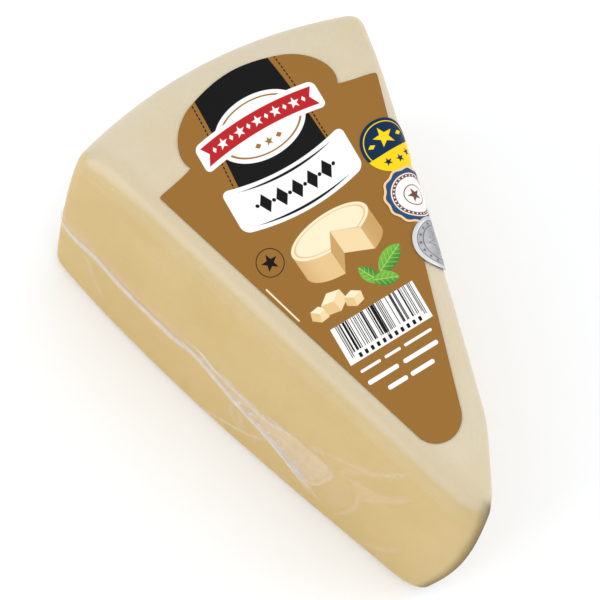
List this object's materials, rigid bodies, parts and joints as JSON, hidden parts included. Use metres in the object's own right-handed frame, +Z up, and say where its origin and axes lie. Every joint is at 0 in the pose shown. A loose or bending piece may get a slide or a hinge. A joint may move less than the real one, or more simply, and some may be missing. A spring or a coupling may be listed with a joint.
{
  "type": "parmesan cheese wedge",
  "caption": "Wedge of hard cheese, cut from a small wheel and sealed in tight clear film, with a shaped paper label on its top and round seals folded over one top edge.",
  "frame": {"origin": "middle of the underside, on the surface that the wedge stands on", "axes": "+X from the rind toward the blunt tip, +Z up through the labelled top, and the cut face with the film's long fold looks toward -Y"},
  "size_m": [0.1352, 0.0824, 0.0752],
  "materials": {
    "cheese": "pale straw, fine grained, under clear film",
    "film": "clear and glossy, whitish in its folds",
    "label": "smooth coated paper, printed",
    "seal_two_tone": "glossy, navy over yellow",
    "seal_rosette": "glossy, white with a brown ring",
    "seal_medal": "metallised paper, brushed"
  },
  "bodies": {
    "root": {"sealed_wedge": "cheese", "label": "label", "seal_two_tone": "seal_two_tone", "seal_rosette": "seal_rosette", "seal_medal": "seal_medal"}
  },
  "joints": []
}
